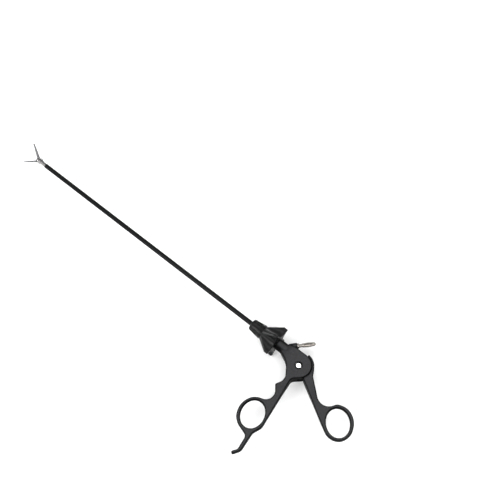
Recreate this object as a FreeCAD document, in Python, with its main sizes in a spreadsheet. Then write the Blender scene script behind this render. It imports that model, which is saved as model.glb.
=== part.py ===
import FreeCAD, Part
import math
import os
import re
import Sketcher

# Hand instrument with a long insulated shaft: a ringed pistol handle, a rotation knob,
# a drive rod and a pair of linked jaws. The shaft runs along X with the jaws at -X,
# the rings hang at -Y, and the instrument lies on its side with Z up.
# The origin is on the shaft's axis at the front face of the nose collar.

Vector = FreeCAD.Vector
doc = FreeCAD.newDocument("laparoscopic_forceps")

# lengths in millimetres, angles in degrees
sizes = {
    # shaft and its core
    "sleeve_radius": 2.5,
    "sleeve_wall": 0.35,
    "tube_wall": 0.53,
    "slip_gap": 0.02,
    "run_gap": 0.05,
    "side_gap": 0.2,
    "jaw_pivot_reach": 311.5,
    "fork_length": 11.5,
    "fork_radius": 2.3,
    "fork_nose": 2.3,
    "fork_tail": 6.0,
    "fork_spigot": 6.0,
    "fork_slot": 2.5,
    "fork_slot_depth": 13.5,
    "jaw_roll": 32.0,
    # jaws
    "jaw_length": 20.3,
    "jaw_base_radius": 2.3,
    "jaw_mid_radius": 1.75,
    "jaw_tip_radius": 1.15,
    "jaw_open": 35.0,
    "jaw_face_gap": 0.04,
    "jaw_clear": 2.6,
    "jaw_pin_radius": 0.6,
    "jaw_boss_radius": 1.55,
    "tail_thickness": 0.6,
    "tail_reach": 4.0,
    "tail_angle_closed": 22.5,
    "eye_radius": 0.68,
    "tooth_pitch": 0.95,
    "tooth_depth": 0.28,
    "tooth_count": 15,
    # links and rod
    "link_length": 7.0,
    "link_angle": 29.2,
    "link_thickness": 0.5,
    "link_bevel": 0.36,
    "stack_gap": 0.04,
    "link_pin_radius": 0.4,
    "stud_radius": 0.33,
    "stud_clearance": 0.15,
    "rod_pin_reach": 8.374,
    "rod_radius": 0.8,
    "tang_radius": 0.9,
    "tang_length": 7.4,
    "rod_bore_gap": 0.1,
    "ball_radius": 2.0,
    "ball_clearance": 0.25,
    # nose collar, ring and knob
    "collar_length": 13.6,
    "collar_front_radius": 6.05,
    "collar_rear_radius": 7.6,
    "collar_edge": 1.0,
    "collar_groove_width": 2.4,
    "collar_groove_start": 2.2,
    "collar_groove_end": 10.6,
    "collar_groove_depth": 0.7,
    "collar_groove_count": 10,
    "flange_length": 3.4,
    "flange_radius": 4.6,
    "seam_length": 1.8,
    "seam_radius": 7.1,
    "knob_front_radius": 7.7,
    "knob_crest_start": 28.6,
    "knob_end": 32.8,
    "wing_radius": 17.0,
    "wing_round": 1.9,
    "valley_radius": 9.2,
    "wing_count": 5,
    "knob_edge": 0.9,
    # spigot that carries the knob and turns in the neck
    "spigot_radius": 3.5,
    "spigot_end": 46.0,
    "tube_end": 44.0,
    "seal_place": 36.2,
    "seal_section": 0.32,
    "keeper_place": 39.5,
    "keeper_width": 2.2,
    "keeper_depth": 0.9,
    "rod_seal_place": 29.0,
    "rod_seal_length": 3.0,
    # front handle
    "neck_start": 33.1,
    "neck_radius": 5.75,
    "neck_end": 48.0,
    "pivot_x": 64.0,
    "pivot_drop": 6.0,
    "hub_radius": 13.0,
    "hub_thickness": 12.0,
    "grip_thickness": 5.6,
    "rim_edge": 1.0,
    "hole_edge": 1.4,
    "finger_ring_x": 60.0,
    "finger_ring_drop": 70.2,
    "finger_hole_long": 14.3,
    "finger_hole_short": 11.5,
    "finger_ring_tilt": 108.0,
    "finger_rim_long": 17.3,
    "finger_rim_short": 14.8,
    "finger_rim_tilt": 98.0,
    "slot_width": 5.6,
    "slot_radius": 11.4,
    # high-frequency plug boss and pin
    "plug_angle": 47.0,
    "plug_x": 49.4,
    "plug_y": 10.2,
    "plug_boss_radius": 3.3,
    "plug_boss_length": 8.0,
    "plug_pin_radius": 2.0,
    "plug_pin_length": 18.3,
    "plug_stud_radius": 1.5,
    "plug_stud_length": 4.4,
    "plunger_radius": 1.1,
    "plunger_length": 1.6,
    # thumb handle
    "lip_gap": 0.4,
    "lip_radius": 14.9,
    "thumb_arm": 6.02,
    "thumb_swing": 21.6,
    "tongue_radius": 11.0,
    "thumb_ring_x": 127.5,
    "thumb_ring_drop": 25.9,
    "thumb_hole_long": 14.5,
    "thumb_hole_short": 11.3,
    "thumb_ring_tilt": 135.0,
    "thumb_rim_long": 17.3,
    "thumb_rim_short": 15.0,
    "thumb_rim_tilt": 131.0,
    # pivot screw and its sleeve nut
    "screw_radius": 1.5,
    "screw_head_radius": 3.0,
    "screw_head_height": 0.9,
    "screw_recess": 1.9,
    "nut_radius": 2.25,
    "nut_head_radius": 3.4,
}

sheet = doc.addObject("Spreadsheet::Sheet", "Sizes")
for row, (name, number) in enumerate(sizes.items(), start=1):
    sheet.set("A%d" % row, name)
    sheet.set("B%d" % row, repr(number))
    sheet.setAlias("B%d" % row, name)
doc.recompute()


def value(text):
    # number that a formula of sheet names gives
    return float(sheet.evalExpression(text))


def bound(text):
    # the same formula as the document's expressions need it
    return re.sub(r"[a-z]+(_[a-z]+)+", lambda found: "Sizes." + found.group(0), text)


def new_body(name):
    body = doc.addObject("PartDesign::Body", name)
    body.Label = name
    return body


def origin_part(body, role):
    return [item for item in body.Origin.OriginFeatures if item.Role == role][0]


def new_sketch(body, role, name, height=None):
    # sketch on one of the body's planes, raised along its normal
    sketch = body.newObject("Sketcher::SketchObject", name)
    sketch.AttachmentSupport = [(origin_part(body, role), "")]
    sketch.MapMode = "FlatFace"
    if height:
        sketch.setExpression("AttachmentOffset.Base.z", bound(height))
    return sketch


def profile(sketch, corners):
    # closed outline of straight runs, each corner's place bound to the sheet
    points = [Vector(value(across), value(up), 0) for across, up in corners]
    count = len(points)
    for index in range(count):
        sketch.addGeometry(Part.LineSegment(points[index], points[(index + 1) % count]), False)
    for index in range(count):
        sketch.addConstraint(Sketcher.Constraint("Coincident", index, 2, (index + 1) % count, 1))
    for index, (across, up) in enumerate(corners):
        for kind, text, number, axis in (("DistanceX", across, points[index].x, -2),
                                         ("DistanceY", up, points[index].y, -1)):
            if number == 0:
                sketch.addConstraint(Sketcher.Constraint("PointOnObject", index, 1, axis))
                continue
            place = sketch.addConstraint(Sketcher.Constraint(kind, -1, 1, index, 1, number))
            sketch.setExpression("Constraints[%d]" % place, bound(text))
    return sketch


def circle(sketch, across, up, radius):
    # hole or disc, its centre and radius bound to the sheet
    centre = Vector(value(across), value(up), 0)
    ring = sketch.addGeometry(Part.Circle(centre, Vector(0, 0, 1), value(radius)), False)
    for kind, text, number, axis in (("DistanceX", across, centre.x, -2), ("DistanceY", up, centre.y, -1)):
        if number == 0:
            sketch.addConstraint(Sketcher.Constraint("PointOnObject", ring, 3, axis))
            continue
        place = sketch.addConstraint(Sketcher.Constraint(kind, -1, 1, ring, 3, number))
        sketch.setExpression("Constraints[%d]" % place, bound(text))
    place = sketch.addConstraint(Sketcher.Constraint("Radius", ring, value(radius)))
    sketch.setExpression("Constraints[%d]" % place, bound(radius))
    return sketch


def draw(sketch, pieces):
    # closed outline from ready lines and arcs, held as they were worked out
    for piece in pieces:
        place = sketch.addGeometry(piece, False)
        sketch.addConstraint(Sketcher.Constraint("Block", place))
    return sketch


def polar(centre, radius, angle):
    # point at an angle in degrees round a centre
    turn = math.radians(angle)
    return Vector(centre[0] + radius * math.cos(turn), centre[1] + radius * math.sin(turn), 0)


def arc(centre, radius, start, end):
    # arc from one angle to another, either way round
    middle = 0.5 * (start + end)
    return Part.Arc(polar(centre, radius, start), polar(centre, radius, middle), polar(centre, radius, end))


def rounded(corners):
    # outline through corners (x, y, radius): straight runs joined by tangent arcs
    count = len(corners)
    spots = [Vector(x, y, 0) for x, y, radius in corners]
    starts, ends, middles = [], [], []
    for index, (x, y, radius) in enumerate(corners):
        here = spots[index]
        before = (spots[index - 1] - here).normalize()
        after = (spots[(index + 1) % count] - here).normalize()
        half = 0.5 * before.getAngle(after)
        reach = radius / math.tan(half)
        starts.append(here + before * reach)
        ends.append(here + after * reach)
        middles.append(here + (before + after).normalize() * (radius / math.sin(half) - radius))
    pieces = []
    for index in range(count):
        if corners[index][2] > 0:
            pieces.append(Part.Arc(starts[index], middles[index], ends[index]))
        following = starts[(index + 1) % count]
        if (following - ends[index]).Length > 1e-6:
            pieces.append(Part.LineSegment(ends[index], following))
    return pieces


def oval_corners(centre, long_radius, short_radius, tilt, first, last, count):
    # corners of the polygon that touches an ellipse, each with the ellipse's own curvature there
    step = (last - first) / count
    stretch = math.cos(math.radians(step / 2))
    lean = math.radians(tilt)
    corners = []
    for index in range(count):
        turn = math.radians(first + step * (index + 0.5))
        along = long_radius * math.cos(turn) / stretch
        across = short_radius * math.sin(turn) / stretch
        x = centre[0] + along * math.cos(lean) - across * math.sin(lean)
        y = centre[1] + along * math.sin(lean) + across * math.cos(lean)
        bend = (long_radius * math.sin(turn)) ** 2 + (short_radius * math.cos(turn)) ** 2
        corners.append((x, y, 0.94 * bend ** 1.5 / (long_radius * short_radius)))
    return corners


def ellipse(centre, long_radius, short_radius, tilt):
    # full ellipse with its long axis at a tilt
    lean = math.radians(tilt)
    middle = Vector(centre[0], centre[1], 0)
    tip = middle + Vector(math.cos(lean), math.sin(lean), 0) * long_radius
    side = middle + Vector(-math.sin(lean), math.cos(lean), 0) * short_radius
    return Part.Ellipse(tip, side, middle)


def tangent_corner(centre, radius, start, end):
    # corner where the tangents of a circle at two angles meet
    reach = radius / math.cos(math.radians(0.5 * (end - start)))
    spot = polar(centre, reach, 0.5 * (start + end))
    return (spot.x, spot.y, radius)


def ease(near, far):
    # two equal arcs that lead smoothly from one level to another
    rise = abs(far[1] - near[1])
    run = abs(far[0] - near[0])
    radius = (run ** 2 + rise ** 2) / (4 * rise)
    middle = Vector(0.5 * (near[0] + far[0]), 0.5 * (near[1] + far[1]), 0)
    way = 1 if far[0] > near[0] else -1
    drop = 1 if far[1] > near[1] else -1
    half = 0.5 * math.asin(run / (2 * radius))
    first = Vector(near[0] + way * radius * math.sin(half), near[1] + drop * radius * (1 - math.cos(half)), 0)
    second = Vector(far[0] - way * radius * math.sin(half), far[1] - drop * radius * (1 - math.cos(half)), 0)
    start = Vector(near[0], near[1], 0)
    end = Vector(far[0], far[1], 0)
    return [Part.Arc(start, first, middle), Part.Arc(middle, second, end)]


def lines(points):
    # straight runs through a list of points
    return [Part.LineSegment(Vector(*a, 0), Vector(*b, 0)) for a, b in zip(points, points[1:])]


def beside(near, low, far):
    # closes a taper's curve round the material that it takes away beside the plate
    clear = near[1] + math.copysign(5, near[1])
    return lines([low, (far, low[1]), (far, clear), (near[0], clear), near])


def pad(body, sketch, name, length, symmetric=False, reverse=False):
    feature = body.newObject("PartDesign::Pad", name)
    feature.Profile = sketch
    feature.setExpression("Length", bound(length))
    feature.Reversed = reverse
    if symmetric:
        feature.SideType = "Symmetric"
    doc.recompute()
    if feature.Shape.isNull() or len(feature.Shape.Solids) != 1:
        raise RuntimeError(name + " is not one solid")
    return feature


def cut(body, sketch, name, length, symmetric=True, reverse=False):
    # pocket that has to take material away
    before = body.Shape.Volume
    feature = body.newObject("PartDesign::Pocket", name)
    feature.Profile = sketch
    feature.setExpression("Length", bound(length))
    if symmetric:
        feature.SideType = "Symmetric"
    feature.Reversed = reverse
    doc.recompute()
    if body.Shape.Volume > before - 1e-4:
        raise RuntimeError(name + " cuts nothing")
    return feature


def turn(body, sketch, name, axis="H_Axis", groove=False):
    before = body.Shape.Volume if groove else 0
    feature = body.newObject("PartDesign::Groove" if groove else "PartDesign::Revolution", name)
    feature.Profile = sketch
    feature.ReferenceAxis = (sketch, [axis])
    feature.Angle = 360
    doc.recompute()
    if groove and body.Shape.Volume > before - 1e-4:
        raise RuntimeError(name + " cuts nothing")
    return feature


def turned_body(name, corners):
    # piece turned round the X axis from its half section
    body = new_body(name)
    turn(body, profile(new_sketch(body, "XY_Plane", name + "_section"), corners), name + "_turned")
    return body


def round_rims(body, name, radius, hole_only=False):
    # rounds every edge between the upright walls and the broad faces, or only those of an oval hole
    shape = body.Tip.Shape
    chosen = []
    for index, edge in enumerate(shape.Edges):
        upright = []
        for face in shape.ancestorsOfType(edge, Part.Face):
            low_u, high_u, low_v, high_v = face.ParameterRange
            normal = face.normalAt(0.5 * (low_u + high_u), 0.5 * (low_v + high_v))
            upright.append(abs(normal.z) < 0.02)
        between = len(upright) == 2 and upright[0] != upright[1]
        if between and (edge.isClosed() or not hole_only):
            chosen.append("Edge%d" % (index + 1))
    feature = body.newObject("PartDesign::Fillet", name)
    feature.Base = (body.Tip, chosen) if body.Tip != feature else (feature.BaseFeature, chosen)
    feature.setExpression("Radius", bound(radius))
    doc.recompute()
    if feature.Shape.isNull():
        raise RuntimeError(name + " can't be rounded")
    return feature


pivot = (value("pivot_x"), -value("pivot_drop"))
hub_half = 0.5 * value("hub_thickness")
grip_half = 0.5 * value("grip_thickness")


def front_handle():
    # moulded pistol handle: neck, hub with two cheeks, finger rest, ring and hook
    body = new_body("front_handle")
    hub = value("hub_radius")
    ring = (value("finger_ring_x"), -value("finger_ring_drop"))
    tilt = value("finger_ring_tilt")
    hole_long = value("finger_hole_long")
    hole_short = value("finger_hole_short")
    rim_tilt = value("finger_rim_tilt")
    rim = oval_corners(ring, value("finger_rim_long"), value("finger_rim_short"), rim_tilt, 158, 8, 3)
    hook = (ring[0] + 0.668 * hole_long, ring[1] - 2.79 * hole_long)
    hook_round = 0.101 * hole_long
    neck_half = 0.66 * value("neck_radius")

    def from_pivot(across, up, bend):
        return (pivot[0] + across * hub, pivot[1] + up * hub, bend * hub)

    def between(across, share, bend):
        return (pivot[0] + across * hub, pivot[1] + share * (ring[1] - pivot[1]), bend * hub)

    def from_ring(across, up, bend):
        return (ring[0] + across * hole_long, ring[1] + up * hole_long, bend * hole_long)

    corners = [
        (pivot[0] - 2.08 * hub, neck_half, 0),
        from_pivot(-1.077, 1.0, 0.923),
        tangent_corner(pivot, hub, 90, -50),
        from_pivot(0.217, -1.124, 0.43),
        from_ring(0.889, 0.855, 4.2),
        from_ring(1.073, -0.324, 0.63),
        from_ring(0.831, -0.985, 0.63),
        from_ring(1.016, -2.369, 0.49),
        (hook[0], hook[1] - hook_round * math.sqrt(2), 0.88 * hook_round),
        (hook[0] - hook_round * math.sqrt(2), hook[1], 0.88 * hook_round),
        from_ring(0.763, -2.415, 0.245),
        from_ring(0.6, -1.39, 0.42),
    ] + rim + [
        from_ring(0.71, 1.492, 0.615),
        between(-0.475, 0.438, 0.138),
        between(-0.069, 0.301, 0.615),
        from_pivot(-0.884, -0.353, 1.54),
        (pivot[0] - 2.08 * hub, -neck_half, 0),
    ]
    outline = draw(new_sketch(body, "XY_Plane", "handle_outline"), rounded(corners))
    pad(body, outline, "handle_plate", "hub_thickness", symmetric=True)
    far = 4 * value("finger_ring_drop")
    sides = new_sketch(body, "YZ_Plane", "grip_taper")
    start, end = pivot[1] - hub, between(0, 0.64, 0)[1]
    for way in (1, -1):
        curve = ease((start, way * hub_half), (end, way * grip_half))
        draw(sides, curve + beside((start, way * hub_half), (end, way * grip_half), -far))
    cut(body, sides, "grip_thinned", "8 * finger_ring_drop")
    sides = new_sketch(body, "XZ_Plane", "neck_taper")
    start, end = pivot[0] - 0.85 * hub, pivot[0] - 2 * hub
    for way in (1, -1):
        curve = ease((start, way * hub_half), (end, way * neck_half))
        draw(sides, curve + beside((start, way * hub_half), (end, way * neck_half), end - 5))
    cut(body, sides, "neck_thinned", "20 + 8 * neck_radius")
    round_rims(body, "handle_rims", "rim_edge")
    hole = new_sketch(body, "XY_Plane", "finger_hole")
    hole.addGeometry(ellipse(ring, hole_long, hole_short, tilt), False)
    cut(body, hole, "finger_hole_cut", "2 * hub_thickness")
    round_rims(body, "finger_hole_rims", "hole_edge", hole_only=True)
    neck = profile(new_sketch(body, "XY_Plane", "neck_section"), [
        ("neck_start", "0"), ("neck_start", "neck_radius - 0.5"), ("neck_start + 0.5", "neck_radius"),
        ("neck_end - 3", "neck_radius"), ("neck_end", "neck_radius - 2.5"), ("neck_end", "0")])
    turn(body, neck, "neck")
    boss = new_sketch(body, "YZ_Plane", "plug_boss_disc")
    plug_frame(boss)
    circle(boss, "0", "0", "plug_boss_radius")
    pad(body, boss, "plug_boss", "plug_boss_length", reverse=True)
    stud_hole = new_sketch(body, "YZ_Plane", "plug_stud_hole")
    plug_frame(stud_hole)
    circle(stud_hole, "0", "0", "plug_stud_radius")
    cut(body, stud_hole, "plug_stud_bore", "plug_stud_length + 0.1", symmetric=False)
    plunger_hole = new_sketch(body, "YZ_Plane", "plunger_hole")
    plug_frame(plunger_hole)
    circle(plunger_hole, "0", "0", "plunger_radius + run_gap")
    cut(body, plunger_hole, "plunger_bore", "plug_boss_length + 2", symmetric=False)
    bore = profile(new_sketch(body, "XY_Plane", "neck_bore_section"), [
        ("neck_start - 1", "0"), ("neck_start - 1", "spigot_radius + run_gap"),
        ("spigot_end + 0.3", "spigot_radius + run_gap"), ("spigot_end + 0.3", "rod_radius + 0.7"),
        ("pivot_x", "rod_radius + 0.7"), ("pivot_x", "0")])
    turn(body, bore, "neck_bore", groove=True)
    slot_radius = value("slot_radius")
    low, high = -57.0, 90.0
    slot = new_sketch(body, "XY_Plane", "hub_slot_outline")
    draw(slot, [arc(pivot, slot_radius, high, low + 360)]
         + [Part.LineSegment(polar(pivot, slot_radius, low), polar(pivot, 2 * slot_radius, low)),
            arc(pivot, 2 * slot_radius, low, high),
            Part.LineSegment(polar(pivot, 2 * slot_radius, high), polar(pivot, slot_radius, high))])
    cut(body, slot, "hub_slot", "slot_width")
    screw_hole = new_sketch(body, "XY_Plane", "pivot_hole")
    circle(screw_hole, "pivot_x", "-pivot_drop", "nut_radius + run_gap")
    cut(body, screw_hole, "pivot_bore", "2 * hub_thickness")
    recess = new_sketch(body, "XY_Plane", "screw_recess_outline", "0.5 * hub_thickness - screw_recess")
    circle(recess, "pivot_x", "-pivot_drop", "screw_head_radius + 0.35")
    cut(body, recess, "screw_recess_cut", "screw_recess + 1", symmetric=False, reverse=True)
    keeper = new_sketch(body, "XY_Plane", "keeper_hole")
    circle(keeper, "keeper_place", "0", "0.5 * keeper_width + 0.15")
    cut(body, keeper, "keeper_bore", "2 * neck_radius", symmetric=False, reverse=False)
    return body


def plug_frame(sketch):
    # turns a sketch to face along the plug's axis, at the boss's end
    sketch.AttachmentOffset = FreeCAD.Placement(
        Vector(value("plug_y"), 0, value("plug_x")), FreeCAD.Rotation(Vector(0, 1, 0), value("plug_angle")))
    sketch.setExpression("AttachmentOffset.Base.x", bound("plug_y"))
    sketch.setExpression("AttachmentOffset.Base.z", bound("plug_x"))
    sketch.setExpression("AttachmentOffset.Rotation.Angle", bound("plug_angle"))


def thumb_handle():
    # moulded thumb lever: rim over the hub, tongue between the cheeks, arm and ring
    body = new_body("thumb_handle")
    lip = value("lip_radius")
    ring = (value("thumb_ring_x"), -value("thumb_ring_drop"))
    tilt = value("thumb_ring_tilt")
    hole_long = value("thumb_hole_long")
    hole_short = value("thumb_hole_short")
    hub = value("hub_radius")
    front = pivot[0] + 0.07 * hub
    rim_tilt = value("thumb_rim_tilt")
    rim = oval_corners(ring, value("thumb_rim_long"), value("thumb_rim_short"), rim_tilt, -20, -245, 5)
    corners = [
        (front, pivot[1] + lip, 0.045 * hub),
        tangent_corner(pivot, lip, 82, 22),
        (pivot[0] + 1.251 * hub, pivot[1] + 0.103 * hub, 1.385 * hub),
        (ring[0] - 1.403 * hole_long, ring[1] - 0.064 * hole_long, 0.759 * hole_long),
        (ring[0] - 0.798 * hole_long, ring[1] + 0.961 * hole_long, 0.441 * hole_long),
    ] + rim + [
        (ring[0] - 1.028 * hole_long, ring[1] - 0.611 * hole_long, 2.76 * hole_long),
        (pivot[0] + 0.582 * hub, pivot[1] - 0.402 * hub, 0),
        (front, pivot[1] + 0.31 * hub, 0),
    ]
    outline = draw(new_sketch(body, "XY_Plane", "lever_outline"), rounded(corners))
    pad(body, outline, "lever_plate", "hub_thickness", symmetric=True)
    sides = new_sketch(body, "XZ_Plane", "lever_taper")
    start, end = pivot[0] + 1.385 * hub, pivot[0] + 3.385 * hub
    far = 4 * value("thumb_ring_x")
    for way in (1, -1):
        curve = ease((start, way * hub_half), (end, way * grip_half))
        draw(sides, curve + beside((start, way * hub_half), (end, way * grip_half), far))
    cut(body, sides, "lever_thinned", "8 * thumb_ring_drop")
    round_rims(body, "lever_rims", "rim_edge")
    hole = new_sketch(body, "XY_Plane", "thumb_hole")
    hole.addGeometry(ellipse(ring, hole_long, hole_short, tilt), False)
    cut(body, hole, "thumb_hole_cut", "2 * hub_thickness")
    round_rims(body, "thumb_hole_rims", "hole_edge", hole_only=True)
    hollow = new_sketch(body, "XY_Plane", "hub_hollow")
    circle(hollow, "pivot_x", "-pivot_drop", "hub_radius + lip_gap")
    cut(body, hollow, "hub_hollow_cut", "2 * hub_thickness")
    low, high = -32.0, 84.0
    tongue = new_sketch(body, "XY_Plane", "tongue_outline")
    small = value("tongue_radius")
    large = value("hub_radius") + value("lip_gap") + 0.8
    draw(tongue, [arc(pivot, small, high, low + 360),
                  Part.LineSegment(polar(pivot, small, low), polar(pivot, large, low)),
                  arc(pivot, large, low, high),
                  Part.LineSegment(polar(pivot, large, high), polar(pivot, small, high))])
    pad(body, tongue, "tongue", "slot_width - 2 * side_gap", symmetric=True)
    hole = new_sketch(body, "XY_Plane", "lever_pivot_hole")
    circle(hole, "pivot_x", "-pivot_drop", "nut_radius + run_gap")
    cut(body, hole, "lever_pivot_bore", "2 * hub_thickness")
    swing = value("thumb_swing")
    ball = polar(pivot, value("thumb_arm"), 90 + 0.5 * swing)
    socket = new_sketch(body, "XY_Plane", "ball_socket")
    socket.addGeometry(Part.Circle(ball, Vector(0, 0, 1), value("ball_radius + ball_clearance")), False)
    cut(body, socket, "ball_socket_cut", "2 * hub_thickness")
    half = value("rod_radius") + 0.4
    reach = value("tongue_radius") + 3.0
    low_start = polar(ball, half, 270 + swing)
    low_end = low_start + polar((0, 0), reach, 180 + swing)
    relief = new_sketch(body, "XY_Plane", "rod_relief")
    draw(relief, lines([(ball.x, ball.y + half), (ball.x - reach, ball.y + half),
                        (low_end.x, low_end.y), (low_start.x, low_start.y), (ball.x, ball.y + half)]))
    cut(body, relief, "rod_relief_cut", "2 * hub_thickness")
    return body


def pivot_hardware():
    # slotted screw from above and a sleeve nut from below hold the two handles
    screw = new_body("pivot_screw")
    top = "0.5 * hub_thickness"
    seat = top + " - screw_recess"
    turn(screw, profile(new_sketch(screw, "XZ_Plane", "screw_section"), [
        ("0", seat + " + screw_head_height"), ("screw_head_radius - 0.7", seat + " + screw_head_height"),
        ("screw_head_radius", seat + " + 0.4"), ("screw_head_radius", seat),
        ("screw_radius - slip_gap", seat), ("screw_radius - slip_gap", "-0.4 * hub_thickness"),
        ("0", "-0.4 * hub_thickness")]), "screw_turned", axis="V_Axis")
    slot = profile(new_sketch(screw, "XY_Plane", "driver_slot", seat + " + screw_head_height - 0.5"), [
        ("-4", "-0.4"), ("4", "-0.4"), ("4", "0.4"), ("-4", "0.4")])
    cut(screw, slot, "driver_slot_cut", "1", symmetric=False, reverse=True)
    nut = new_body("pivot_nut")
    turn(nut, profile(new_sketch(nut, "XZ_Plane", "nut_section"), [
        ("screw_radius", "-" + top + " - screw_head_height"),
        ("nut_head_radius - 0.7", "-" + top + " - screw_head_height"),
        ("nut_head_radius", "-" + top + " - 0.4"), ("nut_head_radius", "-" + top),
        ("nut_radius", "-" + top), ("nut_radius", seat + " - 0.3"), ("screw_radius", seat + " - 0.3")]),
        "nut_turned", axis="V_Axis")
    for piece in (screw, nut):
        piece.setExpression("Placement.Base.x", bound("pivot_x"))
        piece.setExpression("Placement.Base.y", bound("-pivot_drop"))


def plug():
    # slotted spring pin on the boss, and the plunger that meets the turning spigot
    pin = turned_body("hf_pin", [
        ("-plug_stud_length", "0"), ("-plug_stud_length", "plug_stud_radius - slip_gap"),
        ("0", "plug_stud_radius - slip_gap"), ("0", "plug_pin_radius + 0.7"),
        ("1.5", "plug_pin_radius + 0.7"),
        ("1.9", "plug_pin_radius - 0.3"), ("4.6", "plug_pin_radius - 0.3"), ("5.2", "plug_pin_radius"),
        ("plug_pin_length - 1.6", "plug_pin_radius"), ("plug_pin_length - 0.5", "plug_pin_radius - 0.7"),
        ("plug_pin_length", "plug_pin_radius - 1.3"), ("plug_pin_length", "0")])
    slots = new_sketch(pin, "XY_Plane", "spring_slots")
    profile(slots, [("6.4", "-0.25"), ("plug_pin_length - 3.2", "-0.25"),
                    ("plug_pin_length - 3.2", "0.25"), ("6.4", "0.25")])
    cut(pin, slots, "spring_slots_cut", "4 * plug_pin_radius")
    plunger = turned_body("contact_plunger", [
        ("-plunger_length", "0"), ("-plunger_length", "plunger_radius"), ("-0.4", "plunger_radius"),
        ("0", "plunger_radius - 0.3"), ("0.45", "0.4"), ("0.55", "0")])
    lean = math.radians(value("plug_angle"))
    toward = Vector(-math.cos(lean), -math.sin(lean), 0)
    # the plunger's rounded nose stops just off the spigot's wall
    reach = (value("plug_y") - value("spigot_radius") - 0.72) / math.sin(lean) - 0.1
    base = Vector(value("plug_x"), value("plug_y"), 0)
    up = FreeCAD.Rotation(Vector(0, 0, 1), value("plug_angle"))
    down = FreeCAD.Rotation(Vector(0, 0, 1), value("plug_angle") + 180)
    pin.Placement = FreeCAD.Placement(base, up)
    plunger.Placement = FreeCAD.Placement(base + toward * (reach - 0.55), down)


def shaft_core():
    # tube, insulation, spigot, seals and the turned nose pieces
    inner = "sleeve_radius - sleeve_wall"
    tube = inner + " - slip_gap"
    rod_bore = tube + " - tube_wall"
    tube_start = "-jaw_pivot_reach + fork_length + fork_tail"
    turned_body("insulation_sleeve", [
        ("-jaw_pivot_reach + fork_length", inner), ("-jaw_pivot_reach + fork_length", "sleeve_radius - 0.15"),
        ("-jaw_pivot_reach + fork_length + 0.3", "sleeve_radius"),
        ("0", "sleeve_radius"), ("0", inner)])
    turned_body("outer_tube", [
        (tube_start, rod_bore), (tube_start, tube), ("tube_end", tube), ("tube_end", rod_bore)])
    turned_body("shaft_spigot", [
        ("collar_length - flange_length", inner), ("collar_length - flange_length", "flange_radius"),
        ("collar_length", "flange_radius"), ("collar_length", "spigot_radius"),
        ("seal_place - 2 * seal_section", "spigot_radius"),
        ("seal_place - 2 * seal_section", "spigot_radius - 2 * seal_section - 0.05"),
        ("seal_place + 2 * seal_section", "spigot_radius - 2 * seal_section - 0.05"),
        ("seal_place + 2 * seal_section", "spigot_radius"),
        ("keeper_place - 0.5 * keeper_width - 0.1", "spigot_radius"),
        ("keeper_place - 0.5 * keeper_width - 0.1", "spigot_radius - keeper_depth"),
        ("keeper_place + 0.5 * keeper_width + 0.1", "spigot_radius - keeper_depth"),
        ("keeper_place + 0.5 * keeper_width + 0.1", "spigot_radius"),
        ("spigot_end - 0.5", "spigot_radius"), ("spigot_end", "spigot_radius - 0.5"), ("spigot_end", inner)])
    seal = doc.addObject("Part::Torus", "spigot_seal")
    seal.Label = "spigot_seal"
    seal.setExpression("Radius1", bound("spigot_radius - seal_section - 0.03"))
    seal.setExpression("Radius2", bound("seal_section"))
    seal_spot = Vector(value("seal_place"), 0, 0)
    seal.Placement = FreeCAD.Placement(seal_spot, FreeCAD.Rotation(Vector(0, 1, 0), 90))
    seal.setExpression("Placement.Base.x", bound("seal_place"))
    turned_body("rod_seal", [
        ("rod_seal_place", "rod_radius + run_gap"), ("rod_seal_place", rod_bore + " - slip_gap"),
        ("rod_seal_place + rod_seal_length", rod_bore + " - slip_gap"),
        ("rod_seal_place + rod_seal_length", "rod_radius + run_gap")])
    keeper = new_body("keeper_screw")
    turn(keeper, profile(new_sketch(keeper, "XZ_Plane", "keeper_section"), [
        ("0", "-spigot_radius + keeper_depth - 0.15"),
        ("0.5 * keeper_width - 0.15", "-spigot_radius + keeper_depth - 0.15"),
        ("0.5 * keeper_width - 0.15", "-spigot_radius - 0.2"),
        ("0.5 * keeper_width + 0.1", "-spigot_radius - 0.4"),
        ("0.5 * keeper_width + 0.1", "-neck_radius + 0.3"), ("0", "-neck_radius + 0.3")]),
        "keeper_turned", axis="V_Axis")
    keeper.setExpression("Placement.Base.x", bound("keeper_place"))
    collar = turned_body("nose_collar", [
        ("0", inner), ("0", "collar_front_radius - collar_edge"),
        ("0.3 * collar_edge", "collar_front_radius - 0.3 * collar_edge"),
        ("collar_edge", "collar_front_radius"),
        ("collar_length - 0.3", "collar_rear_radius"), ("collar_length", "collar_rear_radius - 0.3"),
        ("collar_length", "flange_radius + slip_gap"),
        ("collar_length - flange_length", "flange_radius + slip_gap"),
        ("collar_length - flange_length", inner)])
    groove = new_sketch(collar, "XY_Plane", "grip_groove", "collar_front_radius - collar_groove_depth + 0.3")
    start, end = value("collar_groove_start"), value("collar_groove_end")
    half = 0.5 * value("collar_groove_width")
    draw(groove, rounded([(start, half, half), (end, half, half), (end, -half, half), (start, -half, half)]))
    first = cut(collar, groove, "grip_groove_cut", "3", symmetric=False, reverse=True)
    pattern = collar.newObject("PartDesign::PolarPattern", "grip_grooves")
    pattern.Originals = [first]
    pattern.Axis = (origin_part(collar, "X_Axis"), [""])
    pattern.Angle = 360
    pattern.setExpression("Occurrences", bound("collar_groove_count"))
    collar.Tip = pattern
    turned_body("seam_ring", [
        ("collar_length", "spigot_radius + slip_gap"), ("collar_length", "seam_radius"),
        ("collar_length + seam_length", "seam_radius"),
        ("collar_length + seam_length", "spigot_radius + slip_gap")])


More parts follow.
